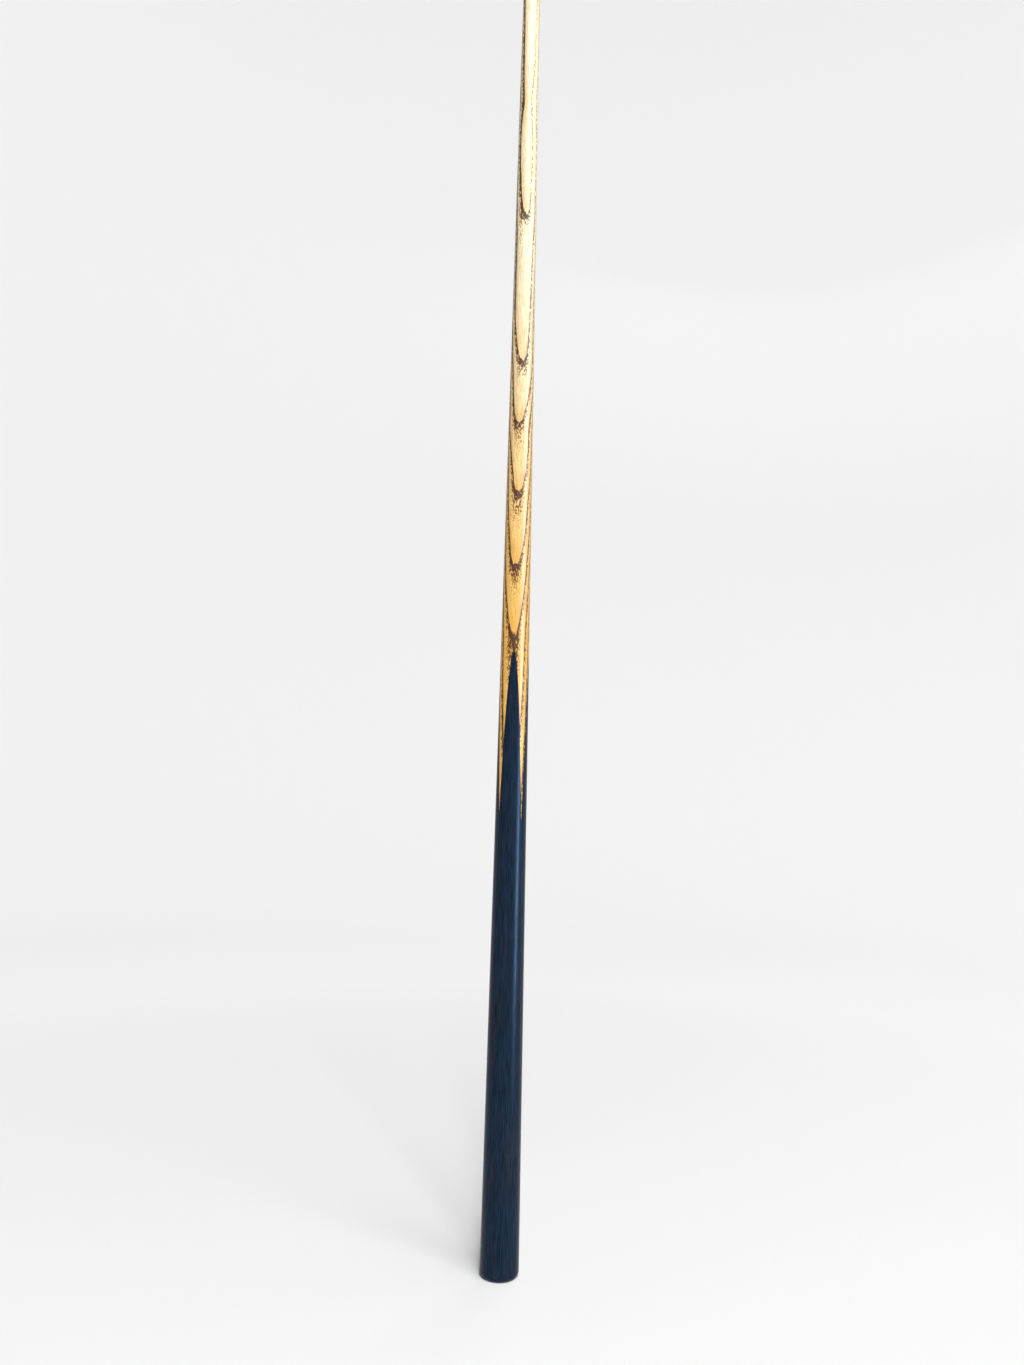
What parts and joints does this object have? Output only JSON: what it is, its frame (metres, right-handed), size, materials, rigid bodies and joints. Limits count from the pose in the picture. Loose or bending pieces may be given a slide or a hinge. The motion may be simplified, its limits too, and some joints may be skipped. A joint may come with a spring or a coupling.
{
  "type": "pool cue",
  "caption": "Tapered solid ash cue with a dark spliced butt, brass ferrule and domed leather tip, for pool and snooker.",
  "frame": {"origin": "centre of the butt's end face, which the cue stands on", "axes": "+Z along the cue's axis from the butt to the tip; -Y towards the viewer, through the middle of the front splice; +X to the viewer's right"},
  "size_m": [0.029, 0.029, 1.448],
  "materials": {
    "ash": "satin",
    "splice_wood": "satin",
    "plug_wood": "satin",
    "lead": "matte",
    "brass": "polished",
    "fibre": "matte",
    "leather": "matte"
  },
  "bodies": {
    "root": {"shaft": "ash", "splice_front": "splice_wood", "splice_back": "splice_wood", "splice_left": "splice_wood", "splice_right": "splice_wood", "butt_weight": "lead", "end_plug": "plug_wood", "ferrule": "brass", "tip_backing": "fibre", "leather_tip": "leather"}
  },
  "joints": []
}
